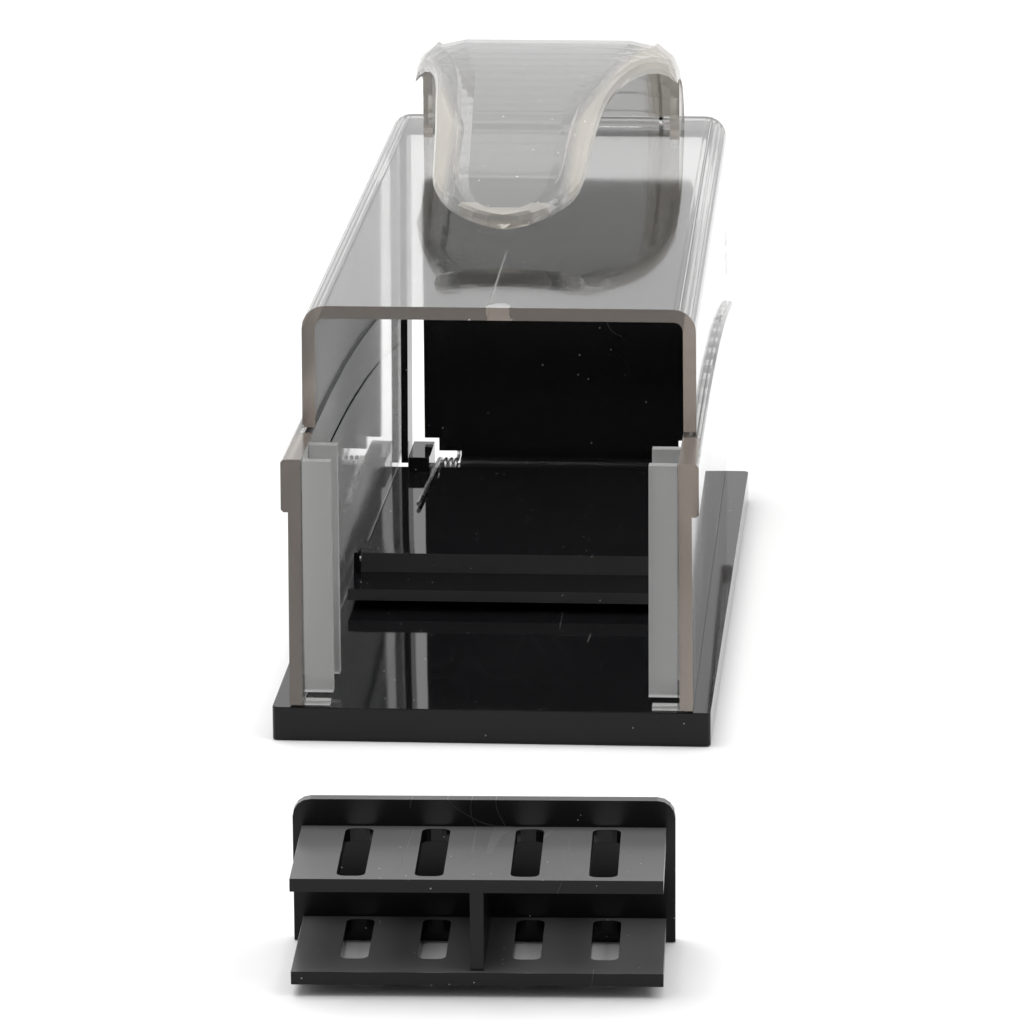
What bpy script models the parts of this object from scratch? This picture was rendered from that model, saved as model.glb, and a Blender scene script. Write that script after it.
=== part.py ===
"""Live catch trap for mice: a clear shell with a moulded handle on a black base tray.

A sprung door closes the far end, a tilting pedal inside works a trip bar in the base,
and a vented bait box that plugs the near end stands in front of the trap.
Units are metres, +Z is up, +Y runs from the near (bait) end to the far (door) end.
The origin is the centre of the base tray's underside.
"""

import math

import bmesh
import bpy
from mathutils import Vector

MM = 0.001

EDGE = 0.25 * MM  # rounding of the moulded black pieces' edges

# Clearances
GAP = 0.3 * MM  # between pieces that touch
PIN_GAP = 0.08 * MM  # radial, round a steel pin

# Base tray
BASE_LENGTH = 175 * MM
BASE_WIDTH = 80 * MM
BASE_HEIGHT = 6.3 * MM
FLOOR_THICKNESS = 2.4 * MM
SKIRT_THICKNESS = 2.6 * MM
RIB_THICKNESS = 1.8 * MM
CROSS_RIB_WIDTH = 5.0 * MM
BASE_EDGE_ROUND = 1.0 * MM
UPSTAND_FROM_NEAR = 28 * MM
UPSTAND_LENGTH = 18 * MM
UPSTAND_HEIGHT = 5.8 * MM
UPSTAND_THICKNESS = 1.3 * MM

# Clear shell
WALL = 2.4 * MM
SHELL_WIDTH = 73.5 * MM  # outside, at the near end, at floor level
SHELL_HEIGHT = 69.0 * MM  # outside, above the floor, at the near end
SHELL_OVERHANG = 12 * MM  # past the base tray's far edge
SIDE_DRAFT = math.radians(0.34)
ROOF_RISE = 0.0183  # per unit of length towards the far end
SIDE_TAPER = 0.0086  # per side and unit of length towards the far end
CORNER_RADIUS = 4.2 * MM
STEP_DEPTH = 24 * MM
STEP_HEIGHT = 46.5 * MM  # of the ledge, above the floor
BELT_PROUD = 1.3 * MM
BELT_WIDTH = 9.8 * MM
BELT_STRAIGHT = 42 * MM
BELT_DROP = 13 * MM
FLANGE_REACH = 5.6 * MM
FLANGE_THICKNESS = 2.2 * MM
FLANGE_PITCH = 12 * MM
FLANGE_LIFT = 2.8 * MM  # above the floor
FOOT_THICKNESS = 0.8 * MM

# Handle
HANDLE_BACK = 5 * MM  # from the shell's far edge to the handle's root
HANDLE_RISE = 23.5 * MM
HANDLE_CREST = 36 * MM  # from the shell's far edge
TONGUE_REACH = 83 * MM  # from the crest to the tip
TIP_LIFT = 7.0 * MM  # of the tip's top above the roof
HANDLE_WIDTH = 52.8 * MM
SHOULDER_WIDTH = 10.0 * MM  # of the rounded shoulder on each side, behind and at the crest
SHOULDER_DROP = 8.0 * MM
TONGUE_HALF = 18.2 * MM  # half the tongue's width at the crest, without the flare into the shoulders
TONGUE_TAPER = 4.4 * MM
TONGUE_FLARE = 0.22  # share of the tongue's length over which the flare fades
HANDLE_SHEET = 1.8 * MM
RIM_WIDTH = 4.3 * MM
RIM_DEPTH = 3.4 * MM
PANEL_RECESS = 0.9 * MM
LEG_FRONT = 22 * MM  # from the shell's far edge
LEG_THICKNESS = 1.9 * MM
TONGUE_ASIDE = -2.5 * MM  # lean of the tongue's tip

# Door frame
FRAME_THICKNESS = 1.4 * MM
FRAME_DEPTH = 9.5 * MM

# Entrance door
DOOR_THICKNESS = 2.4 * MM
DOOR_TOP = 57.5 * MM  # above the floor
DOOR_SIDE_GAP = 2.6 * MM  # to the frame's jambs
HINGE_PIN_RADIUS = 1.0 * MM
HINGE_BARREL_WALL = 1.3 * MM
HINGE_BEYOND_BASE = 6.2 * MM
HINGE_HEIGHT = 4.6 * MM  # above the resting face
HINGE_BLOCK_WIDTH = 4.4 * MM
HINGE_BLOCK_HEIGHT = 9.6 * MM  # above the resting face

# Door spring
WIRE_RADIUS = 0.45 * MM
COIL_TURNS = 3
COIL_PITCH = 1.15 * MM
FLOOR_LEG = 32 * MM
DOOR_LEG = 15 * MM

# Pedal
PEDAL_NEAR = 65 * MM  # from the base tray's near edge
PEDAL_LENGTH = 36 * MM
PEDAL_THICKNESS = 2.2 * MM
PEDAL_LIFT = 2.0 * MM  # underside above the floor
PEDAL_SIDE_GAP = 0.9 * MM  # to the shell's walls
RIDGE_FROM_EDGE = 12.6 * MM
RIDGE_LENGTH = 3.6 * MM
RIDGE_HEIGHT = 3.8 * MM
PEDAL_PIN_RADIUS = 0.8 * MM
EAR_THICKNESS = 1.2 * MM
EAR_LENGTH = 4.0 * MM
TAB_WIDTH = 6 * MM
TAB_LENGTH = 2.0 * MM

# Trip bar, under the floor
BAR_ASIDE = 10 * MM
BAR_WIDTH = 8 * MM
BAR_THICKNESS = 1.8 * MM
BAR_UNDER_FLOOR = 0.4 * MM
BAR_PIVOT_FROM_NEAR = 20 * MM
BAR_PIN_RADIUS = 0.6 * MM
BAR_HUB_WALL = 0.7 * MM
HOOK_LENGTH = 1.6 * MM
HOOK_RISE = 0.9 * MM
HOOK_BEYOND_BASE = 2.1 * MM
LUG_REACH = 1.3 * MM  # beyond the door's barrel
LUG_THICKNESS = 1.6 * MM

# Bait box
BOX_WIDTH = 60 * MM
BOX_DEPTH = 28 * MM
BOX_SPACING = 17.9 * MM  # outside, over both panels
BOX_SHEET = 2.2 * MM
COVER_WIDTH = 63 * MM
COVER_HEIGHT = 24.4 * MM
COVER_BELOW = 1.9 * MM  # under the lower panel
COVER_CORNER = 3.0 * MM
BOX_IN_FRONT = 109 * MM  # cover's back face to the base tray's near edge
BOX_ASIDE = 7.6 * MM
BOX_TURN = math.radians(2)
SLOT_WIDTH = 4.6 * MM
SLOT_PITCH = 12.6 * MM
SLOT_INNER = 7.7 * MM  # from the centre web to the first slot's middle
UPPER_SLOT_LENGTH = 25.0 * MM
LOWER_SLOT_LENGTH = 20.0 * MM

NEAR = -BASE_LENGTH / 2
FAR = BASE_LENGTH / 2
SHELL_NEAR = NEAR + GAP
SHELL_FAR = FAR + SHELL_OVERHANG
FLOOR = BASE_HEIGHT
SHELL_BOTTOM = FLOOR + GAP
STEP_Y = NEAR + STEP_DEPTH
STEP_Z = FLOOR + STEP_HEIGHT
HINGE_Y = FAR + HINGE_BEYOND_BASE
HINGE_Z = HINGE_HEIGHT
RIDGE_Y = NEAR + PEDAL_NEAR + RIDGE_FROM_EDGE + RIDGE_LENGTH / 2
PEDAL_TOP = FLOOR + PEDAL_LIFT + PEDAL_THICKNESS
RIDGE_Z = PEDAL_TOP + RIDGE_HEIGHT / 2
FLANGE_INNER = SHELL_WIDTH / 2 - WALL - FLANGE_REACH
PEDAL_NEAR_Y = NEAR + PEDAL_NEAR
PEDAL_FAR_Y = PEDAL_NEAR_Y + PEDAL_LENGTH
EAR_INSIDE = SHELL_WIDTH / 2 - WALL - SIDE_TAPER * (RIDGE_Y - NEAR) - EAR_THICKNESS - 1.0 * MM
TAB_Y = PEDAL_FAR_Y - 2.5 * MM
BAR_TOP = FLOOR - FLOOR_THICKNESS - BAR_UNDER_FLOOR
BAR_EYE_RADIUS = BAR_PIN_RADIUS + PIN_GAP + BAR_HUB_WALL
BAR_Z = BAR_TOP - BAR_EYE_RADIUS
BAR_PIVOT_Y = NEAR + BAR_PIVOT_FROM_NEAR
BARREL_BORE = HINGE_PIN_RADIUS + PIN_GAP
BARREL_RADIUS = BARREL_BORE + HINGE_BARREL_WALL
DOOR_Y = HINGE_Y + BARREL_BORE + GAP
SPRING_ROOM = COIL_PITCH * COIL_TURNS + 2 * WIRE_RADIUS + GAP
CORNER_STEPS = 5


def clear_scene():
    for old in list(bpy.data.objects):
        bpy.data.objects.remove(old, do_unlink=True)


def plastic(name, color, roughness, metallic=0.0, alpha=1.0):
    """A plain Principled material."""
    made = bpy.data.materials.new(name)
    made.use_nodes = True
    shader = made.node_tree.nodes["Principled BSDF"]
    shader.inputs["Base Color"].default_value = (*color, 1.0)
    shader.inputs["Roughness"].default_value = roughness
    shader.inputs["Metallic"].default_value = metallic
    shader.inputs["Alpha"].default_value = alpha
    made.diffuse_color = (*color, alpha)
    return made


def add_object(name, mesh_builder, look, origin=(0, 0, 0), smooth=True):
    """Links a new mesh object, with its origin on its joint's axis where it moves."""
    bmesh.ops.recalc_face_normals(mesh_builder, faces=mesh_builder.faces)
    bmesh.ops.translate(mesh_builder, verts=mesh_builder.verts, vec=-Vector(origin))
    mesh = bpy.data.meshes.new(name)
    mesh_builder.to_mesh(mesh)
    mesh_builder.free()
    mesh.materials.append(look)
    if smooth:
        mesh.shade_smooth()
        mesh.set_sharp_from_angle(angle=math.radians(32))
    made = bpy.data.objects.new(name, mesh)
    made.location = origin
    bpy.context.scene.collection.objects.link(made)
    return made


def combine(target, helper, operation):
    """Adds an exact Boolean with a helper object that isn't a part itself."""
    helper.hide_render = True
    helper.display_type = "WIRE"
    cut = target.modifiers.new(helper.name, "BOOLEAN")
    cut.operation = operation
    cut.solver = "EXACT"
    cut.object = helper


def soften(target, width):
    """Rounds the sharp edges that a mould leaves, by a fixed small width."""
    edge = target.modifiers.new("soft_edges", "BEVEL")
    edge.width = width
    edge.segments = 2
    edge.limit_method = "ANGLE"
    edge.angle_limit = math.radians(60)
    edge.use_clamp_overlap = True


def prism(builder, outline, axis, low, high):
    """Extrudes an outline, given in the other two axes' order, along one axis."""
    place = {
        "X": lambda a, b, c: (c, a, b),
        "Y": lambda a, b, c: (a, c, b),
        "Z": lambda a, b, c: (a, b, c),
    }[axis]
    starts = [builder.verts.new(place(a, b, low)) for a, b in outline]
    ends = [builder.verts.new(place(a, b, high)) for a, b in outline]
    count = len(outline)
    builder.faces.new(starts)
    builder.faces.new(ends[::-1])
    for index in range(count):
        following = (index + 1) % count
        builder.faces.new((starts[index], starts[following], ends[following], ends[index]))


def block(builder, low, high):
    outline = [(low[0], low[1]), (high[0], low[1]), (high[0], high[1]), (low[0], high[1])]
    prism(builder, outline, "Z", low[2], high[2])


def circle(centre, radius, steps=20):
    turns = [2 * math.pi * step / steps for step in range(steps)]
    return [(centre[0] + radius * math.cos(t), centre[1] + radius * math.sin(t)) for t in turns]


def rounded_rectangle(low, high, radii, steps=4):
    """Outline with one radius for each corner: low-low, high-low, high-high, low-high."""
    corners = [
        (low[0], low[1], 1, 1, 180),
        (high[0], low[1], -1, 1, 270),
        (high[0], high[1], -1, -1, 0),
        (low[0], high[1], 1, -1, 90),
    ]
    points = []
    for (a, b, inward_a, inward_b, start), radius in zip(corners, radii):
        if radius <= 0:
            points.append((a, b))
            continue
        for step in range(steps + 1):
            turn = math.radians(start + 90 * step / steps)
            centre_a = a + inward_a * radius
            centre_b = b + inward_b * radius
            points.append((centre_a + radius * math.cos(turn), centre_b + radius * math.sin(turn)))
    return points


def helper_block(name, low, high):
    builder = bmesh.new()
    block(builder, low, high)
    return add_object(name, builder, HELPER, smooth=False)


def helper_rod(name, centre, radius, low, high, steps=20):
    """A cylinder along X round (y, z)."""
    builder = bmesh.new()
    prism(builder, circle(centre, radius, steps), "X", low, high)
    return add_object(name, builder, HELPER)


def rod(name, centre, radius, low, high, look):
    builder = bmesh.new()
    prism(builder, circle(centre, radius, 24), "X", low, high)
    return add_object(name, builder, look, origin=((low + high) / 2, *centre))


def smooth_step(value):
    clamped = min(max(value, 0.0), 1.0)
    return clamped * clamped * (3 - 2 * clamped)


def shell_half(y, z):
    """Half the shell's outside width at a place along the trap and a height."""
    return SHELL_WIDTH / 2 - (z - FLOOR) * math.tan(SIDE_DRAFT) - (y - NEAR) * SIDE_TAPER


def roof(y):
    """Height of the roof's outside."""
    return FLOOR + SHELL_HEIGHT + (y - NEAR) * ROOF_RISE


def arch_outline(y, inset, bottom):
    """The shell's section at y, moved inward by inset, from the left foot to the right foot."""
    top = roof(y) - inset
    radius = max(CORNER_RADIUS - inset, 0.8 * MM)
    shoulder = shell_half(y, top - radius) - inset
    foot = shell_half(y, bottom) - inset
    left = [(-foot, bottom)]
    for step in range(CORNER_STEPS + 1):
        turn = math.radians(180 - 90 * step / CORNER_STEPS)
        left.append((-shoulder + radius + radius * math.cos(turn), top - radius + radius * math.sin(turn)))
    return left + [(-x, z) for x, z in reversed(left)]


def arch(builder, near, far, outer_inset, inner_inset, bottom):
    """An upside-down U that follows the shell's section between two places along Y."""
    rings = []
    for y in (near, far):
        for inset in (outer_inset, inner_inset):
            rings.append([builder.verts.new((x, y, z)) for x, z in arch_outline(y, inset, bottom)])
    outer_near, inner_near, outer_far, inner_far = rings
    for index in range(len(outer_near) - 1):
        step = index + 1
        for first, second in (
            (outer_near, outer_far),
            (inner_far, inner_near),
            (inner_near, outer_near),
            (outer_far, inner_far),
        ):
            builder.faces.new((first[index], first[step], second[step], second[index]))
    for index in (0, -1):
        builder.faces.new((outer_near[index], outer_far[index], inner_far[index], inner_near[index]))


def loft(builder, rings):
    """Skins closed rings of points, with a face at each end."""
    made = [[builder.verts.new(point) for point in ring] for ring in rings]
    count = len(made[0])
    for first, second in zip(made, made[1:]):
        for index in range(count):
            following = (index + 1) % count
            builder.faces.new((first[index], first[following], second[following], second[index]))
    builder.faces.new(made[0])
    builder.faces.new(made[-1][::-1])


def belt_top(y):
    """Upper edge of the raised belt on the shell's sides, which dips towards the far end."""
    beyond = max(y - NEAR - BELT_STRAIGHT, 0.0) / (SHELL_FAR - NEAR - BELT_STRAIGHT)
    return STEP_Z - 0.1 * MM - BELT_DROP * beyond**2


def belt(side):
    """The raised belt along one side of the shell."""
    stations = 14
    start = SHELL_NEAR + 0.05 * MM
    length = SHELL_FAR - SHELL_NEAR - 0.1 * MM
    ease = 0.5 * MM
    rings = []
    for station in range(stations + 1):
        y = start + length * station / stations
        top = belt_top(y)
        low = top - BELT_WIDTH
        buried = -WALL / 2
        section = [(buried, low), (BELT_PROUD - ease, low), (BELT_PROUD, low + ease)]
        section += [(BELT_PROUD, top - ease), (BELT_PROUD - ease, top), (buried, top)]
        rings.append([(side * (shell_half(y, z) + out), y, z) for out, z in section])
    builder = bmesh.new()
    loft(builder, rings)
    return add_object("belt_helper", builder, HELPER)


CREST_Y = SHELL_FAR - HANDLE_CREST
ROOT_Y = SHELL_FAR - HANDLE_BACK
ROOT_Z = roof(ROOT_Y) - WALL * 0.6
CREST_Z = roof(CREST_Y) + HANDLE_RISE
TIP_Y = CREST_Y - TONGUE_REACH
TIP_Z = roof(TIP_Y) + TIP_LIFT
BACK_STATIONS = 8
TONGUE_STATIONS = 16
TIP_STATIONS = 7
TIP_ROUND_START = 0.82


def handle_back(turn):
    """The handle's outer line behind the crest, a quarter ellipse; turn runs from 0 to 90 degrees."""
    y = CREST_Y + (ROOT_Y - CREST_Y) * math.cos(turn)
    z = ROOT_Z + (CREST_Z - ROOT_Z) * math.sin(turn)
    out = Vector((0, math.cos(turn) / (ROOT_Y - CREST_Y), math.sin(turn) / (CREST_Z - ROOT_Z)))
    return Vector((0, y, z)), out.normalized()


def handle_front(along):
    """The tongue's outer line from the crest, along 0, to the tip, along 1."""
    fall = CREST_Z - TIP_Z
    power = 1.75
    y = CREST_Y - TONGUE_REACH * along
    z = CREST_Z - fall * along**power
    slope = fall * power * along ** (power - 1) / TONGUE_REACH
    return Vector((0, y, z)), Vector((0, -slope, 1)).normalized()


def tongue_half(along):
    """Half the tongue's width: it narrows quickly past the crest and ends in a half ellipse."""
    flare = (HANDLE_WIDTH / 2 - TONGUE_HALF) * math.exp(-((along / TONGUE_FLARE) ** 1.5))
    body = TONGUE_HALF - TONGUE_TAPER * along + flare
    if along <= TIP_ROUND_START:
        return body
    beyond = (along - TIP_ROUND_START) / (1 - TIP_ROUND_START)
    return body * math.sqrt(max(1 - beyond * beyond, 0.0))


def shoulder_drop(x):
    """How far the handle's rounded shoulder lies below its middle, at a distance from the middle."""
    beyond = (abs(x) - (HANDLE_WIDTH / 2 - SHOULDER_WIDTH)) / SHOULDER_WIDTH
    beyond = min(max(beyond, 0.0), 0.995)
    return SHOULDER_DROP * (1 - math.sqrt(1 - beyond * beyond))


def handle_ring(centre, out, half, aside, droop):
    """One section of the handle: a sheet with a recessed middle, a round rim and drooping shoulders."""
    inner = max(half - RIM_WIDTH, 0.0)
    flat = min(inner / (2 * MM), 1.0)
    recess = PANEL_RECESS * flat
    under = RIM_DEPTH + (PANEL_RECESS + HANDLE_SHEET - RIM_DEPTH) * flat
    ease = min(1.3 * MM, half)
    right = [
        (half - ease, -RIM_DEPTH),
        (half - ease * 0.3, -RIM_DEPTH * 0.85),
        (half, -RIM_DEPTH * 0.5),
        (half - ease * 0.3, -RIM_DEPTH * 0.15),
        (half - ease, 0.0),
        (inner, 0.0),
        (max(inner - 0.8 * MM, 0.0), -recess),
        (inner * 0.75, -recess),
        (inner * 0.4, -recess),
    ]
    below = [(inner * 0.4, -under), (inner * 0.75, -under), (inner, -RIM_DEPTH)]
    section = right + [(0.0, -recess)]
    section += [(-x, n) for x, n in reversed(right)]
    section += [(-x, n) for x, n in reversed(below)]
    section += [(0.0, -under)] + below
    points = []
    for x, n in section:
        fall = Vector((0, 0, -shoulder_drop(x) * droop))
        points.append(centre + Vector((x + aside, 0, 0)) + out * n + fall)
    return points


def handle_sheet():
    rings = []
    for station in range(BACK_STATIONS):
        turn = math.radians(90) * station / BACK_STATIONS
        centre, out = handle_back(turn)
        rings.append(handle_ring(centre, out, HANDLE_WIDTH / 2, 0.0, math.sin(turn)))
    along_tongue = [TIP_ROUND_START * station / TONGUE_STATIONS for station in range(TONGUE_STATIONS)]
    for station in range(TIP_STATIONS + 1):
        turn = math.pi / 2 * station / TIP_STATIONS
        along_tongue.append(TIP_ROUND_START + (1 - TIP_ROUND_START) * math.sin(turn))
    for along in along_tongue:
        centre, out = handle_front(along)
        aside = TONGUE_ASIDE * smooth_step(along / 0.5)
        rings.append(handle_ring(centre, out, tongue_half(along), aside, 1 - smooth_step(along / 0.6)))
    builder = bmesh.new()
    loft(builder, rings)
    bmesh.ops.remove_doubles(builder, verts=builder.verts, dist=1e-6)
    bmesh.ops.dissolve_degenerate(builder, edges=builder.edges, dist=1e-6)
    return add_object("handle_helper", builder, HELPER)


def handle_leg(side):
    """The side wall that carries the handle's back end down to the roof."""
    front = SHELL_FAR - LEG_FRONT
    outer = HANDLE_WIDTH / 2 - 0.3 * MM
    turn_at_front = math.acos((front - CREST_Y) / (ROOT_Y - CREST_Y))
    outline = [(ROOT_Y - 1.4 * MM, ROOT_Z), (front, ROOT_Z - 0.3 * MM)]
    steps = 6
    for step in range(steps + 1):
        turn = turn_at_front * (1 - step / steps) + 0.02
        centre, out = handle_back(turn)
        inside = centre - out * 1.2 * MM
        lowest = outline[0][1] + 0.1 * MM
        outline.append((max(inside.y, front), max(inside.z - shoulder_drop(outer) * math.sin(turn), lowest)))
    builder = bmesh.new()
    prism(builder, outline, "X", *sorted((side * outer, side * (outer - LEG_THICKNESS))))
    return add_object("leg_helper", builder, HELPER)


def clear_shell():
    """Roof and walls, open at both ends and below, with belt, guide flanges, feet and handle."""
    builder = bmesh.new()
    arch(builder, SHELL_NEAR, SHELL_FAR, 0.0, WALL, SHELL_BOTTOM)
    shell = add_object("clear_shell", builder, CLEAR)
    wide = SHELL_WIDTH
    step = helper_block("step_cut", (-wide, NEAR - wide, STEP_Z), (wide, STEP_Y, STEP_Z + wide))
    combine(shell, step, "DIFFERENCE")
    for side in (-1, 1):
        combine(shell, belt(side), "UNION")
        outside = shell_half(SHELL_NEAR, STEP_Z) - WALL / 2
        for index in range(2):
            near = SHELL_NEAR + 0.1 * MM + index * FLANGE_PITCH
            spread = sorted((side * FLANGE_INNER, side * outside))
            low = (spread[0], near, FLOOR + FLANGE_LIFT)
            high = (spread[1], near + FLANGE_THICKNESS, STEP_Z - 0.4 * MM)
            combine(shell, helper_block("flange_helper", low, high), "UNION")
        spread = sorted((side * (FLANGE_INNER + 0.6 * MM), side * outside))
        low = (spread[0], SHELL_NEAR + 0.1 * MM, SHELL_BOTTOM)
        high = (spread[1], SHELL_NEAR + FLANGE_THICKNESS, SHELL_BOTTOM + FOOT_THICKNESS)
        combine(shell, helper_block("foot_helper", low, high), "UNION")
        combine(shell, handle_leg(side), "UNION")
    combine(shell, handle_sheet(), "UNION")
    return shell


def hinge_block_outside():
    return frame_inside(SHELL_FAR, STEP_Z) - GAP


def frame_inside(y, z):
    """Half the clear width between the door frame's jambs."""
    return shell_half(y, z) - WALL - GAP - FRAME_THICKNESS


def base_tray():
    """The floor with its skirt, underside ribs, upstands, pedal ears and hinge blocks."""
    builder = bmesh.new()
    outline = rounded_rectangle(
        (-BASE_WIDTH / 2, NEAR), (BASE_WIDTH / 2, FAR), [BASE_EDGE_ROUND] * 4, 3
    )
    prism(builder, outline, "Z", 0.0, FLOOR)
    tray = add_object("base_tray", builder, BLACK)
    ceiling = FLOOR - FLOOR_THICKNESS
    inner_x = BASE_WIDTH / 2 - SKIRT_THICKNESS
    bar_room = BAR_WIDTH / 2 + GAP
    rib_left = BAR_ASIDE - bar_room - RIB_THICKNESS
    rib_right = BAR_ASIDE + bar_room + RIB_THICKNESS
    half_rib = CROSS_RIB_WIDTH / 2
    for low_x, high_x in ((-inner_x, rib_left), (rib_right, inner_x)):
        for low_y, high_y in ((NEAR + SKIRT_THICKNESS, -half_rib), (half_rib, FAR - SKIRT_THICKNESS)):
            pocket = helper_block("pocket_cut", (low_x, low_y, -FLOOR), (high_x, high_y, ceiling))
            combine(tray, pocket, "DIFFERENCE")
    channel_low = (BAR_ASIDE - bar_room, NEAR + SKIRT_THICKNESS, -FLOOR)
    channel = helper_block("channel_cut", channel_low, (BAR_ASIDE + bar_room, FAR + FLOOR, ceiling))
    combine(tray, channel, "DIFFERENCE")
    tab_room = TAB_WIDTH / 2 + 2 * GAP
    tab_low = (BAR_ASIDE - tab_room, TAB_Y - TAB_LENGTH / 2 - 2 * GAP, -FLOOR)
    tab_high = (BAR_ASIDE + tab_room, TAB_Y + TAB_LENGTH / 2 + 2 * GAP, FLOOR * 2)
    combine(tray, helper_block("tab_cut", tab_low, tab_high), "DIFFERENCE")
    for side in (-1, 1):
        outside = shell_half(NEAR + UPSTAND_FROM_NEAR + UPSTAND_LENGTH, FLOOR + UPSTAND_HEIGHT) - WALL - GAP
        spread = sorted((side * outside, side * (outside - UPSTAND_THICKNESS)))
        low = (spread[0], NEAR + UPSTAND_FROM_NEAR, FLOOR - 1 * MM)
        high = (spread[1], low[1] + UPSTAND_LENGTH, FLOOR + UPSTAND_HEIGHT)
        combine(tray, helper_block("upstand_helper", low, high), "UNION")
        spread = sorted((side * EAR_INSIDE, side * (EAR_INSIDE + EAR_THICKNESS)))
        low = (spread[0], RIDGE_Y - EAR_LENGTH / 2, FLOOR - 1 * MM)
        high = (spread[1], RIDGE_Y + EAR_LENGTH / 2, RIDGE_Z + EAR_LENGTH / 2)
        combine(tray, helper_block("ear_helper", low, high), "UNION")
        outside = hinge_block_outside()
        spread = sorted((side * outside, side * (outside - HINGE_BLOCK_WIDTH)))
        low = (spread[0], FAR - 2 * SKIRT_THICKNESS, 1 * MM)
        high = (spread[1], HINGE_Y + BARREL_RADIUS, HINGE_BLOCK_HEIGHT)
        combine(tray, helper_block("hinge_block_helper", low, high), "UNION")
    reach = BASE_WIDTH / 2
    pin_cut = helper_rod("hinge_bore", (HINGE_Y, HINGE_Z), BARREL_BORE, -reach, reach)
    combine(tray, pin_cut, "DIFFERENCE")
    pedal_bore = helper_rod("pedal_bore", (RIDGE_Y, RIDGE_Z), PEDAL_PIN_RADIUS + PIN_GAP, -reach, reach)
    combine(tray, pedal_bore, "DIFFERENCE")
    bar_bore = helper_rod(
        "bar_bore",
        (BAR_PIVOT_Y, BAR_Z),
        BAR_PIN_RADIUS + PIN_GAP,
        rib_left - 1 * MM,
        rib_right + 1 * MM,
    )
    combine(tray, bar_bore, "DIFFERENCE")
    soften(tray, EDGE)
    return tray


def door_frame():
    """The thin liner inside the shell's far end: two jambs and a header in one piece."""
    builder = bmesh.new()
    far = SHELL_FAR - 0.6 * MM
    inner = WALL + GAP + FRAME_THICKNESS
    arch(builder, far - FRAME_DEPTH, far, WALL + GAP, inner, SHELL_BOTTOM)
    return add_object("door_frame", builder, BLACK)


def entrance_door():
    """A plate hinged at its foot, notched round the hinge blocks and the spring."""
    half = frame_inside(SHELL_FAR, FLOOR + DOOR_TOP) - DOOR_SIDE_GAP
    block_inside = hinge_block_outside() - HINGE_BLOCK_WIDTH
    foot_half = block_inside - 1 * MM
    notch_top = HINGE_BLOCK_HEIGHT + 1 * MM
    foot = HINGE_Z - BARREL_BORE - GAP
    spring_right = -foot_half + SPRING_ROOM
    spring_top = HINGE_Z + BARREL_RADIUS + 3 * GAP
    top = rounded_rectangle((-half, notch_top), (half, FLOOR + DOOR_TOP), (0, 0, 1.5 * MM, 1.5 * MM))
    outline = [(spring_right, foot), (foot_half, foot), (foot_half, notch_top)]
    outline += top[1:]
    outline += [(-half, notch_top), (-foot_half, notch_top), (-foot_half, spring_top), (spring_right, spring_top)]
    builder = bmesh.new()
    prism(builder, outline, "Y", DOOR_Y, DOOR_Y + DOOR_THICKNESS)
    door = add_object("entrance_door", builder, BLACK, origin=(0, HINGE_Y, HINGE_Z))
    barrel = helper_rod("barrel_helper", (HINGE_Y, HINGE_Z), BARREL_RADIUS, spring_right, foot_half)
    combine(door, barrel, "UNION")
    lug_low = (BAR_ASIDE - 2 * MM, HINGE_Y - LUG_THICKNESS / 2, HINGE_Z - BARREL_RADIUS - LUG_REACH)
    lug_high = (BAR_ASIDE + 2 * MM, HINGE_Y + LUG_THICKNESS / 2, HINGE_Z - BARREL_BORE - 0.5 * MM)
    combine(door, helper_block("lug_helper", lug_low, lug_high), "UNION")
    reach = BASE_WIDTH / 2
    bore = helper_rod("door_bore", (HINGE_Y, HINGE_Z), BARREL_BORE, -reach, reach)
    combine(door, bore, "DIFFERENCE")
    soften(door, EDGE)
    return door


def door_spring():
    """Torsion spring round the hinge pin: one leg lies on the floor, the other backs the door."""
    coil_radius = HINGE_PIN_RADIUS + GAP + WIRE_RADIUS
    foot_half = hinge_block_outside() - HINGE_BLOCK_WIDTH - 1 * MM
    start_x = -foot_half + WIRE_RADIUS
    floor_z = FLOOR + GAP + WIRE_RADIUS
    back_y = DOOR_Y + DOOR_THICKNESS + GAP + WIRE_RADIUS
    points = []
    leave_y = FAR - 1 * MM
    for step in range(7):
        points.append((start_x - 1.2 * MM * (1 - step / 6), leave_y - (FLOOR_LEG * (1 - step / 6)), floor_z))
    points.append((start_x, HINGE_Y - 2.4 * MM, floor_z))
    start_turn = math.radians(90)
    per_turn = 12
    total = COIL_TURNS * per_turn
    for step in range(total + 1):
        turn = start_turn - 2 * math.pi * step / per_turn
        x = start_x + COIL_PITCH * step / per_turn
        points.append((x, HINGE_Y + coil_radius * math.cos(turn), HINGE_Z + coil_radius * math.sin(turn)))
    last_x = start_x + COIL_PITCH * COIL_TURNS
    points.append((last_x, back_y - 1.0 * MM, HINGE_Z + coil_radius))
    points.append((last_x, back_y, HINGE_Z + coil_radius + 0.9 * MM))
    points.append((last_x, back_y, HINGE_Z + DOOR_LEG))
    curve = bpy.data.curves.new("door_spring", "CURVE")
    curve.dimensions = "3D"
    curve.bevel_depth = WIRE_RADIUS
    curve.bevel_resolution = 1
    curve.use_fill_caps = True
    spline = curve.splines.new("POLY")
    spline.points.add(len(points) - 1)
    for point, place in zip(spline.points, points):
        point.co = (*(Vector(place) - Vector((0, HINGE_Y, HINGE_Z))), 1.0)
    curve.materials.append(STEEL)
    spring = bpy.data.objects.new("door_spring", curve)
    spring.location = (0, HINGE_Y, HINGE_Z)
    bpy.context.scene.collection.objects.link(spring)
    return spring


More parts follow.
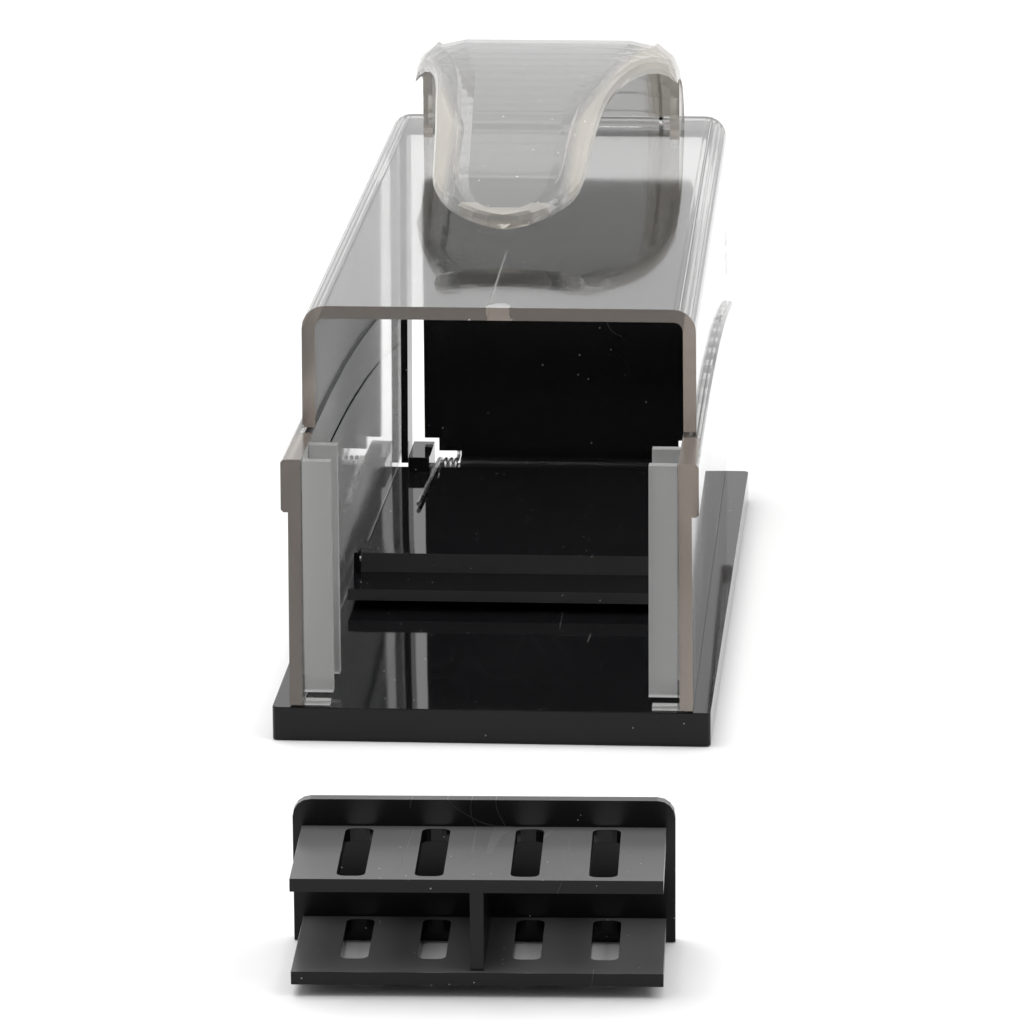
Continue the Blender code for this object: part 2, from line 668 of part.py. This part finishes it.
def pedal():
    """The tilting plate with its raised pivot ridge and the tab that pushes the trip bar."""
    half = shell_half(PEDAL_FAR_Y, PEDAL_TOP) - WALL - PEDAL_SIDE_GAP
    low_z = FLOOR + PEDAL_LIFT
    builder = bmesh.new()
    block(builder, (-half, PEDAL_NEAR_Y, low_z), (half, PEDAL_FAR_Y, PEDAL_TOP))
    plate = add_object("pedal", builder, BLACK, origin=(0, RIDGE_Y, RIDGE_Z), smooth=False)
    ridge_half = EAR_INSIDE - GAP
    ridge_low = (-ridge_half, RIDGE_Y - RIDGE_LENGTH / 2, PEDAL_TOP - 0.5 * MM)
    ridge_high = (ridge_half, RIDGE_Y + RIDGE_LENGTH / 2, PEDAL_TOP + RIDGE_HEIGHT)
    combine(plate, helper_block("ridge_helper", ridge_low, ridge_high), "UNION")
    tab_low = (BAR_ASIDE - TAB_WIDTH / 2, TAB_Y - TAB_LENGTH / 2, BAR_TOP + GAP)
    tab_high = (BAR_ASIDE + TAB_WIDTH / 2, TAB_Y + TAB_LENGTH / 2, low_z + 0.5 * MM)
    combine(plate, helper_block("tab_helper", tab_low, tab_high), "UNION")
    for side in (-1, 1):
        spread = sorted((side * ridge_half, side * half * 1.1))
        low = (spread[0], RIDGE_Y - EAR_LENGTH / 2 - 2 * GAP, 0)
        high = (spread[1], RIDGE_Y + EAR_LENGTH / 2 + 2 * GAP, 2 * PEDAL_TOP)
        combine(plate, helper_block("ear_notch", low, high), "DIFFERENCE")
    bore = helper_rod("ridge_bore", (RIDGE_Y, RIDGE_Z), PEDAL_PIN_RADIUS + PIN_GAP, -half, half)
    combine(plate, bore, "DIFFERENCE")
    soften(plate, EDGE)
    return plate


def trip_bar():
    """The long bar under the floor, hung at its near end, with the hook that holds the open door."""
    builder = bmesh.new()
    low_x = BAR_ASIDE - BAR_WIDTH / 2
    high_x = BAR_ASIDE + BAR_WIDTH / 2
    end_y = FAR + HOOK_BEYOND_BASE
    block(builder, (low_x, BAR_PIVOT_Y, BAR_TOP - BAR_THICKNESS), (high_x, end_y, BAR_TOP))
    bar = add_object("trip_bar", builder, BLACK, origin=(BAR_ASIDE, BAR_PIVOT_Y, BAR_Z), smooth=False)
    eye = helper_rod("eye_helper", (BAR_PIVOT_Y, BAR_Z), BAR_EYE_RADIUS, low_x, high_x)
    combine(bar, eye, "UNION")
    nose_low = (low_x + 1 * MM, end_y - HOOK_LENGTH, BAR_TOP - 0.5 * MM)
    nose_high = (high_x - 1 * MM, end_y - 0.1 * MM, BAR_TOP + HOOK_RISE)
    combine(bar, helper_block("nose_helper", nose_low, nose_high), "UNION")
    bore = helper_rod("eye_bore", (BAR_PIVOT_Y, BAR_Z), BAR_PIN_RADIUS + PIN_GAP, low_x - MM, high_x + MM)
    combine(bar, bore, "DIFFERENCE")
    return bar


def slot_centres():
    first = SLOT_INNER
    return [side * (first + index * SLOT_PITCH) for side in (-1, 1) for index in range(2)]


def bait_box():
    """Two slotted panels and a web behind a cover plate, in the box's own frame, turned a little."""
    holder = bpy.data.objects.new("bait_box_place", None)
    holder.location = (BOX_ASIDE, NEAR - BOX_IN_FRONT, 0)
    holder.rotation_euler = (0, 0, BOX_TURN)
    bpy.context.scene.collection.objects.link(holder)
    builder = bmesh.new()
    cover_half = COVER_WIDTH / 2
    outline = rounded_rectangle(
        (-cover_half, 0), (cover_half, COVER_HEIGHT), (0, 0, COVER_CORNER, COVER_CORNER)
    )
    prism(builder, outline, "Y", -BOX_SHEET, 0)
    box = add_object("bait_box", builder, BLACK)
    half = BOX_WIDTH / 2
    front = -BOX_SHEET - BOX_DEPTH
    upper = COVER_BELOW + BOX_SPACING - BOX_SHEET
    helpers = []
    for name, low_z in (("lower_panel", COVER_BELOW), ("upper_panel", upper)):
        low = (-half, front, low_z)
        helpers.append((helper_block(name, low, (half, -BOX_SHEET / 2, low_z + BOX_SHEET)), "UNION"))
    web_low = (-BOX_SHEET / 2, front + 1 * MM, COVER_BELOW + BOX_SHEET / 2)
    web = helper_block("web_helper", web_low, (BOX_SHEET / 2, -BOX_SHEET / 2, upper + BOX_SHEET / 2))
    helpers.append((web, "UNION"))
    for x in slot_centres():
        for name, low_z, length in (
            ("upper_slot", upper - MM, UPPER_SLOT_LENGTH),
            ("lower_slot", COVER_BELOW - MM, LOWER_SLOT_LENGTH),
        ):
            end = -BOX_SHEET - 1.2 * MM
            cutter = bmesh.new()
            start = end - length
            radius = SLOT_WIDTH * 0.3
            slot = rounded_rectangle((x - SLOT_WIDTH / 2, start), (x + SLOT_WIDTH / 2, end), [radius] * 4, 3)
            prism(cutter, slot, "Z", low_z, low_z + BOX_SHEET + 2 * MM)
            helpers.append((add_object(name, cutter, HELPER), "DIFFERENCE"))
    for helper, operation in helpers:
        helper.parent = holder
        combine(box, helper, operation)
    box.parent = holder
    soften(box, EDGE)
    return box


clear_scene()
HELPER = plastic("helper", (0.8, 0.2, 0.2), 0.5)
CLEAR = plastic("clear_plastic", (0.82, 0.82, 0.81), 0.08, alpha=0.35)
BLACK = plastic("black_plastic", (0.012, 0.012, 0.013), 0.12)
STEEL = plastic("spring_steel", (0.62, 0.62, 0.63), 0.25, metallic=1.0)

base_tray()
clear_shell()
door_frame()
entrance_door()
hinge_reach = hinge_block_outside() - GAP
rod("door_hinge_pin", (HINGE_Y, HINGE_Z), HINGE_PIN_RADIUS, -hinge_reach, hinge_reach, STEEL)
door_spring()
pedal()
pedal_reach = EAR_INSIDE + EAR_THICKNESS
rod("pedal_pin", (RIDGE_Y, RIDGE_Z), PEDAL_PIN_RADIUS, -pedal_reach, pedal_reach, STEEL)
trip_bar()
bar_reach = BAR_WIDTH / 2 + GAP + RIB_THICKNESS
rod("trip_bar_pin", (BAR_PIVOT_Y, BAR_Z), BAR_PIN_RADIUS, BAR_ASIDE - bar_reach, BAR_ASIDE + bar_reach, STEEL)
bait_box()
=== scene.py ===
"""Looks for a live catch trap: a clear shell with a handle, on a black tray, with a bait box in front."""

import math

import bmesh
import bpy
from mathutils import Matrix, Vector


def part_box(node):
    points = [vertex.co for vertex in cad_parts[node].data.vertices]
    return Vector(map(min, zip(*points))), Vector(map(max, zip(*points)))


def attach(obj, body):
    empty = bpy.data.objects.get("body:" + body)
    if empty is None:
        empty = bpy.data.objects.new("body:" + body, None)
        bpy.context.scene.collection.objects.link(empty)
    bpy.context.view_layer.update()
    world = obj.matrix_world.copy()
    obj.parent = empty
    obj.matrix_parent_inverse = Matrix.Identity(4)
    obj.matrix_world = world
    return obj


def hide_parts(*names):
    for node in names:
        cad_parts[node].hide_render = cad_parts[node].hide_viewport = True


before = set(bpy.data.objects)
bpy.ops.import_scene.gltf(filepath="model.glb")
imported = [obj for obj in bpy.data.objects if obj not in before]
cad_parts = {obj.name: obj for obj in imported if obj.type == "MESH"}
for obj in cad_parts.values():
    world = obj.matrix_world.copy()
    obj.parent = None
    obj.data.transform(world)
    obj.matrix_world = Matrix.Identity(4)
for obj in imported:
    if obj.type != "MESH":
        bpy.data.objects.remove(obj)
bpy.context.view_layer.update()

MM = 0.001

# Places taken from the frame
SHELL_LOW, SHELL_HIGH = (Vector(corner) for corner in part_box("clear_shell"))
BASE_LOW, BASE_HIGH = (Vector(corner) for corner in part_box("base_tray"))
PEDAL_LOW, PEDAL_HIGH = (Vector(corner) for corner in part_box("pedal"))
NEAR = SHELL_LOW.y
FAR = SHELL_HIGH.y
STEP_DEPTH = 24 * MM
LEDGE = 52.8 * MM
STEP_Y = BASE_LOW.y + STEP_DEPTH
ROOF_NEAR = 75.7 * MM
WALL_INSIDE = 34 * MM
WIRE_RADIUS = 0.45 * MM
COIL_TURNS = 3
COIL_PITCH = 1.1 * MM
LEG_CLEAR = 0.15 * MM  # the door's leg turns beside the coil
BASE_TOP = 6.3 * MM
TONGUE_TIP = Vector((-3 * MM, FAR - 119 * MM))

# Camera
CAMERA_PLACE = (0.0894, -1.1983, 0.3409)
CAMERA_RIGHT = (0.9972, 0.0748, -0.0064)
CAMERA_UP = (-0.0131, 0.2576, 0.9662)
CAMERA_FORWARD = (-0.074, 0.9634, -0.2578)
LENS = 225
SENSOR = 36


class Graph:
    """A material's node tree, with short ways to add what these materials share."""

    def __init__(self, name):
        self.material = bpy.data.materials.new(name)
        self.material.use_nodes = True
        self.tree = self.material.node_tree
        self.shader = self.tree.nodes["Principled BSDF"]
        self.output = self.tree.nodes["Material Output"]
        self.place = self.add("ShaderNodeTexCoord").outputs["Object"]

    def add(self, kind, **settings):
        node = self.tree.nodes.new(kind)
        for key, value in settings.items():
            setattr(node, key, value)
        return node

    def link(self, source, target):
        if isinstance(source, (int, float)):
            target.default_value = source
        else:
            self.tree.links.new(source, target)

    def math(self, operation, *values, clamp=False):
        node = self.add("ShaderNodeMath", operation=operation, use_clamp=clamp)
        for socket, value in zip(node.inputs, values):
            self.link(value, socket)
        return node.outputs[0]

    def axis(self, name):
        split = self.add("ShaderNodeSeparateXYZ")
        self.link(self.place, split.inputs[0])
        return split.outputs[name]

    def noise(self, scale, detail=3.0, roughness=0.5, stretch=(1, 1, 1)):
        spread = self.add("ShaderNodeMapping")
        spread.inputs["Scale"].default_value = stretch
        self.link(self.place, spread.inputs["Vector"])
        node = self.add("ShaderNodeTexNoise")
        node.inputs["Scale"].default_value = scale
        node.inputs["Detail"].default_value = detail
        node.inputs["Roughness"].default_value = roughness
        self.link(spread.outputs[0], node.inputs["Vector"])
        return node.outputs["Fac"]

    def specks(self, scale, radius):
        """Scattered round dust specks: 1 inside a speck and 0 elsewhere."""
        cells = self.add("ShaderNodeTexVoronoi")
        cells.inputs["Scale"].default_value = scale
        self.link(self.place, cells.inputs["Vector"])
        near = self.math("LESS_THAN", cells.outputs["Distance"], radius)
        chance = self.add("ShaderNodeSeparateColor")
        self.link(cells.outputs["Color"], chance.inputs[0])
        some = self.math("GREATER_THAN", chance.outputs[0], 0.55)
        return self.math("MULTIPLY", near, some)

    def ramp(self, value, low, high, from_low, from_high):
        node = self.add("ShaderNodeMapRange")
        node.inputs["From Min"].default_value = from_low
        node.inputs["From Max"].default_value = from_high
        node.inputs["To Min"].default_value = low
        node.inputs["To Max"].default_value = high
        self.link(value, node.inputs["Value"])
        return node.outputs[0]

    def blend_colors(self, factor, first, second):
        node = self.add("ShaderNodeMix", data_type="RGBA")
        self.link(factor, node.inputs["Factor"])
        for socket, value in ((node.inputs[6], first), (node.inputs[7], second)):
            if isinstance(value, tuple):
                socket.default_value = (*value, 1.0)
            else:
                self.link(value, socket)
        return node.outputs[2]

    def scratches(self, scale, width):
        """Thin straight marks that lie in a few directions, 1 on a mark."""
        found = None
        for turn in (17, 71, 128):
            spread = self.add("ShaderNodeMapping")
            spread.inputs["Rotation"].default_value = (0, 0, math.radians(turn))
            spread.inputs["Scale"].default_value = (1, 0.05, 1)
            self.link(self.place, spread.inputs["Vector"])
            cells = self.add("ShaderNodeTexNoise")
            cells.inputs["Scale"].default_value = scale
            cells.inputs["Detail"].default_value = 1.0
            self.link(spread.outputs[0], cells.inputs["Vector"])
            away = self.math("ABSOLUTE", self.math("SUBTRACT", cells.outputs["Fac"], 0.5))
            mark = self.math("LESS_THAN", away, width)
            found = mark if found is None else self.math("MAXIMUM", found, mark)
        patches = self.math("GREATER_THAN", self.noise(scale * 0.35), 0.66)
        return self.math("MULTIPLY", found, patches)

    def bump(self, height, strength, distance):
        node = self.add("ShaderNodeBump")
        node.inputs["Strength"].default_value = strength
        node.inputs["Distance"].default_value = distance
        self.link(height, node.inputs["Height"])
        self.link(node.outputs[0], self.shader.inputs["Normal"])


def clear_plastic():
    """Clear styrene: smoke-grey walls, taupe cut edges, frosted guide flanges, sprue mark and weld line."""
    g = Graph("clear_styrene")
    x, y, z = (g.axis(name) for name in "XYZ")
    aside = g.math("ABSOLUTE", x)
    in_low_front = g.math("LESS_THAN", y, STEP_Y - 4 * MM)
    flange = g.math("MULTIPLY", g.math("LESS_THAN", aside, WALL_INSIDE - 0.1 * MM), in_low_front)
    near_face = g.math("LESS_THAN", y, NEAR + 0.08 * MM)
    far_face = g.math("GREATER_THAN", y, FAR - 0.08 * MM)
    ledge = g.math("MULTIPLY", in_low_front, g.math("GREATER_THAN", z, LEDGE - 0.15 * MM))
    off_step = g.math("ABSOLUTE", g.math("SUBTRACT", y, STEP_Y))
    above = g.math("GREATER_THAN", z, LEDGE)
    step_face = g.math("MULTIPLY", g.math("LESS_THAN", off_step, 0.08 * MM), above)
    edge = g.math("MAXIMUM", g.math("MAXIMUM", near_face, far_face), g.math("MAXIMUM", ledge, step_face))
    handle = g.math("GREATER_THAN", z, ROOF_NEAR + 4.5 * MM)
    cloud = g.noise(22.0, 2.0)
    walls = g.blend_colors(cloud, (0.6, 0.605, 0.6), (0.7, 0.7, 0.695))
    tongue_aside = g.math("ABSOLUTE", g.math("SUBTRACT", x, TONGUE_TIP.x * 0.8))
    panel_half = g.ramp(y, 11.3 * MM, 21.5 * MM, 15 * MM, 58 * MM)
    outside_panel = g.ramp(g.math("SUBTRACT", tongue_aside, panel_half), 0, 1, -1.2 * MM, 1.2 * MM)
    # painted highlight: the handle's rim gets a lighter, warmer tint and less transmission than the panel,
    # standing in for the light the thick rim catches
    in_rim_highlight = g.math("MAXIMUM", outside_panel, g.math("LESS_THAN", y, TONGUE_TIP.y + 4 * MM))
    rim_highlight = g.math("MULTIPLY", in_rim_highlight, handle)
    panel = g.math("SUBTRACT", handle, rim_highlight)
    handle_color = g.blend_colors(in_rim_highlight, (0.5, 0.5, 0.495), (0.56, 0.535, 0.49))
    tinted = g.blend_colors(handle, walls, handle_color)
    frosted = g.blend_colors(flange, tinted, (0.62, 0.62, 0.615))
    color = g.blend_colors(edge, frosted, (0.3, 0.255, 0.22))
    dust = g.specks(420.0, 0.05)
    dusty = g.blend_colors(dust, color, (0.95, 0.95, 0.94))
    g.link(dusty, g.shader.inputs["Base Color"])

    off_middle = g.math("SUBTRACT", x, TONGUE_TIP.x * 0.6)
    weld_wave = g.math("MULTIPLY", g.math("SUBTRACT", g.noise(60.0), 0.5), 0.5 * MM)
    weld_off = g.math("ABSOLUTE", g.math("ADD", off_middle, weld_wave))
    weld = g.math("MULTIPLY", g.math("LESS_THAN", weld_off, 0.16 * MM), g.math("LESS_THAN", y, TONGUE_TIP.y))
    weld = g.math("MULTIPLY", weld, above)
    sprue_y = g.math("SUBTRACT", y, STEP_Y + 0.9 * MM)
    sprue_square = g.math("ADD", g.math("MULTIPLY", x, x), g.math("MULTIPLY", sprue_y, sprue_y))
    sprue_away = g.math("SQRT", sprue_square)
    sprue_edge = g.math("ADD", 1.2 * MM, g.math("MULTIPLY", g.noise(300.0), 2.2 * MM))
    sprue = g.math("MULTIPLY", g.math("LESS_THAN", sprue_away, sprue_edge), above)

    marks = g.scratches(34.0, 0.0022)
    base_rough = g.ramp(g.noise(14.0), 0.015, 0.06, 0.3, 0.7)
    rough = g.math("ADD", base_rough, g.math("MULTIPLY", flange, 0.28))
    rough = g.math("ADD", rough, g.math("MULTIPLY", rim_highlight, 0.12))
    rough = g.math("ADD", rough, g.math("MULTIPLY", edge, 0.16))
    rough = g.math("ADD", rough, g.math("MULTIPLY", sprue, 0.35))
    rough = g.math("ADD", rough, g.math("MULTIPLY", marks, 0.12))
    rough = g.math("ADD", rough, g.math("MULTIPLY", weld, 0.2), clamp=True)
    g.link(rough, g.shader.inputs["Roughness"])
    solid = g.math("ADD", g.math("MULTIPLY", dust, 0.8), g.math("MULTIPLY", sprue, 0.45))
    solid = g.math("ADD", solid, g.math("MULTIPLY", flange, 0.2))
    # painted highlight: the rim is made more solid so that it reads brighter than the panel
    solid = g.math("ADD", solid, g.math("MULTIPLY", rim_highlight, g.ramp(cloud, 0.4, 0.55, 0.3, 0.7)))
    solid = g.math("ADD", solid, g.math("MULTIPLY", panel, 0.2))
    solid = g.math("ADD", solid, g.math("MULTIPLY", edge, 0.4))
    solid = g.math("ADD", solid, g.math("MULTIPLY", weld, 0.12), clamp=True)
    g.link(g.math("SUBTRACT", 1.0, solid), g.shader.inputs["Transmission Weight"])
    g.shader.inputs["IOR"].default_value = 1.53

    waves = g.math("MULTIPLY", g.noise(26.0, 1.0, 0.4, (1.0, 0.45, 1.0)), g.ramp(panel, 0.4, 4.0, 0, 1))
    height = g.math("ADD", waves, g.math("MULTIPLY", marks, 0.05))
    height = g.math("ADD", height, g.math("MULTIPLY", weld, -0.2))
    g.bump(height, 0.35, 0.9 * MM)

    through = g.add("ShaderNodeBsdfTransparent")
    through.inputs["Color"].default_value = (0.93, 0.93, 0.925, 1)
    mix = g.add("ShaderNodeMixShader")
    path = g.add("ShaderNodeLightPath")
    g.link(path.outputs["Is Shadow Ray"], mix.inputs[0])
    g.link(g.shader.outputs[0], mix.inputs[1])
    g.link(through.outputs[0], mix.inputs[2])
    g.link(mix.outputs[0], g.output.inputs["Surface"])
    return g.material


def black_plastic(name, gloss, dust_scale=420.0, dust_radius=0.05, wear=0.25, painted_face_light=None):
    """Moulded black plastic with a slightly uneven gloss, hairline scratches and dust.

    The last argument, when given, is an axis, which way along it a face looks, and the grey painted on faces
    that look so: painted light, a lighter colour standing in for the light those faces catch.
    """
    g = Graph(name)
    tone = g.noise(35.0, 2.0)
    plain = g.blend_colors(tone, (0.0025, 0.0025, 0.003), (0.005, 0.005, 0.0055))
    if painted_face_light:
        name_of_axis, way, grey = painted_face_light
        facing = g.add("ShaderNodeSeparateXYZ")
        g.link(g.add("ShaderNodeNewGeometry").outputs["Normal"], facing.inputs[0])
        looks = g.math("MULTIPLY", facing.outputs[name_of_axis], float(way))
        # painted light: faces that look the given way are blended towards a lighter grey
        face_light_mask = g.math("MULTIPLY", g.ramp(looks, 0, 1, 0.6, 0.95), g.ramp(tone, 0.85, 1.0, 0.3, 0.7))
        plain = g.blend_colors(face_light_mask, plain, (grey, grey, grey))
    marks = g.scratches(46.0, 0.002)
    scratched = g.blend_colors(g.math("MULTIPLY", marks, wear), plain, (0.1, 0.1, 0.1))
    dust = g.specks(dust_scale, dust_radius)
    dusty = g.blend_colors(g.math("MULTIPLY", dust, 0.8), scratched, (0.4, 0.4, 0.39))
    g.link(dusty, g.shader.inputs["Base Color"])
    uneven = g.ramp(g.noise(18.0), gloss, gloss * 1.7, 0.3, 0.7)
    rough = g.math("ADD", uneven, g.math("MULTIPLY", marks, 0.15))
    rough = g.math("ADD", rough, g.math("MULTIPLY", dust, 0.5), clamp=True)
    g.link(rough, g.shader.inputs["Roughness"])
    ripple = g.noise(20.0, 1.0)
    height = g.math("ADD", ripple, g.math("MULTIPLY", marks, -0.03))
    g.bump(height, 0.12, 0.5 * MM)
    g.shader.inputs["IOR"].default_value = 1.5
    g.shader.inputs["Specular IOR Level"].default_value = 0.24
    return g.material


def wire_steel():
    """Drawn steel, with a fine bumpy surface and a few dull patches."""
    g = Graph("drawn_steel")
    dull = g.noise(120.0, 4.0)
    g.link(g.blend_colors(dull, (0.5, 0.5, 0.51), (0.72, 0.72, 0.73)), g.shader.inputs["Base Color"])
    g.shader.inputs["Metallic"].default_value = 1.0
    g.link(g.ramp(dull, 0.18, 0.38, 0.3, 0.7), g.shader.inputs["Roughness"])
    g.bump(g.noise(900.0, 2.0), 0.08, 0.1 * MM)
    return g.material


def table_top():
    g = Graph("pale_table")
    g.link(g.blend_colors(g.noise(3.0), (0.86, 0.86, 0.86), (0.88, 0.88, 0.88)), g.shader.inputs["Base Color"])
    g.shader.inputs["Roughness"].default_value = 0.6
    g.shader.inputs["Specular IOR Level"].default_value = 0.2
    return g.material


LOOKS = {
    "clear_shell": clear_plastic(),
    "base_tray": black_plastic("black_floor", 0.03, wear=0.4),
    # painted light: the pedal and the door get a lighter grey on their faces that look towards -Y
    "pedal": black_plastic("black_pedal", 0.03, painted_face_light=("Y", -1, 0.05)),
    "entrance_door": black_plastic("black_door", 0.12, painted_face_light=("Y", -1, 0.006)),
    "door_frame": black_plastic("black_frame", 0.14),
    "trip_bar": black_plastic("black_bar", 0.2),
    # painted light: the bait box gets a lighter grey on its upward faces
    "bait_box": black_plastic("black_box", 0.16, 460.0, 0.06, painted_face_light=("Z", 1, 0.11)),
}
STEEL = wire_steel()
for node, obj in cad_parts.items():
    look = LOOKS.get(node, STEEL)
    for slot in obj.material_slots:
        slot.material = look


def wire(name, points, body):
    """A piece of the door's spring, as round wire through these points."""
    curve = bpy.data.curves.new(name, "CURVE")
    curve.dimensions = "3D"
    curve.bevel_depth = WIRE_RADIUS
    curve.bevel_resolution = 4
    curve.use_fill_caps = True
    spline = curve.splines.new("POLY")
    spline.points.add(len(points) - 1)
    for point, place in zip(spline.points, points):
        point.co = (*place, 1.0)
    curve.materials.append(STEEL)
    made = bpy.data.objects.new(name, curve)
    bpy.context.scene.collection.objects.link(made)
    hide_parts("door_spring")
    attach(made, body)


def add_spring():
    """Coil and floor leg stay with the base; the leg that presses on the door moves with it."""
    pin_low, pin_high = (Vector(corner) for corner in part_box("door_hinge_pin"))
    spring_low, spring_high = (Vector(corner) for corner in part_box("door_spring"))
    hinge = (pin_low + pin_high) / 2
    coil_radius = pin_high.z - hinge.z + 0.3 * MM + WIRE_RADIUS
    end_x = spring_high.x - WIRE_RADIUS
    start_x = end_x - LEG_CLEAR - COIL_PITCH * COIL_TURNS
    floor_z = BASE_TOP + 0.3 * MM + WIRE_RADIUS
    back_y = spring_high.y - WIRE_RADIUS
    leg_end = spring_low.y + WIRE_RADIUS * 0.2
    points = [(start_x - 1.2 * MM, leg_end, floor_z), (start_x, hinge.y - 2.4 * MM, floor_z)]
    steps = 24
    for step in range(COIL_TURNS * steps + 1):
        turn = math.pi / 2 - 2 * math.pi * step / steps
        x = start_x + COIL_PITCH * step / steps
        points.append((x, hinge.y + coil_radius * math.cos(turn), hinge.z + coil_radius * math.sin(turn)))
    wire("spring_coil", points, "base")
    top = hinge.z + coil_radius
    leg = [(end_x, hinge.y + 0.2 * MM, top), (end_x, back_y - 0.9 * MM, top), (end_x, back_y, top + 0.9 * MM)]
    wire("spring_leg", [*leg, (end_x, back_y, spring_high.z)], "door")


def add_camera():
    data = bpy.data.cameras.new("camera")
    data.lens = LENS
    data.sensor_width = SENSOR
    data.clip_end = 20
    camera = bpy.data.objects.new("camera", data)
    axes = (Vector(CAMERA_RIGHT), Vector(CAMERA_UP), -Vector(CAMERA_FORWARD))
    turn = Matrix(axes).transposed()
    camera.matrix_world = Matrix.Translation(CAMERA_PLACE) @ turn.to_4x4()
    bpy.context.scene.collection.objects.link(camera)
    bpy.context.scene.camera = camera


def add_area(name, place, target, size, power):
    data = bpy.data.lights.new(name, "AREA")
    data.shape = "RECTANGLE"
    data.size, data.size_y = size
    data.energy = power
    light = bpy.data.objects.new(name, data)
    light.location = place
    light.rotation_euler = (Vector(target) - Vector(place)).to_track_quat("-Z", "Y").to_euler()
    bpy.context.scene.collection.objects.link(light)


def add_floor():
    builder = bmesh.new()
    reach = 6.0
    corners = [(-reach, -reach), (reach, -reach), (reach, reach), (-reach, reach)]
    builder.faces.new([builder.verts.new((x, y, 0)) for x, y in corners])
    mesh = bpy.data.meshes.new("floor")
    builder.to_mesh(mesh)
    builder.free()
    mesh.materials.append(table_top())
    floor = bpy.data.objects.new("floor", mesh)
    floor.location.z = -0.1 * MM
    bpy.context.scene.collection.objects.link(floor)


def add_world():
    world = bpy.data.worlds.new("studio")
    world.use_nodes = True
    background = world.node_tree.nodes["Background"]
    background.inputs["Color"].default_value = (1, 1, 1, 1)
    towards = world.node_tree.nodes.new("ShaderNodeTexCoord")
    split = world.node_tree.nodes.new("ShaderNodeSeparateXYZ")
    level = world.node_tree.nodes.new("ShaderNodeMapRange")
    for socket, value in zip(level.inputs[1:5], (-0.75, 0.35, 0.3, 1.02)):
        socket.default_value = value
    world.node_tree.links.new(towards.outputs["Generated"], split.inputs[0])
    world.node_tree.links.new(split.outputs["Y"], level.inputs["Value"])
    world.node_tree.links.new(level.outputs[0], background.inputs["Strength"])
    bpy.context.scene.world = world


add_spring()
add_camera()
add_world()
add_floor()
add_area("key", (-0.3, 0.1, 1.5), (0, 0, 0.03), (1.2, 1.2), 16)
add_area("fill", (0.9, -0.4, 1.0), (0, 0, 0.03), (0.7, 0.7), 4)
bpy.context.scene.view_settings.view_transform = "Standard"
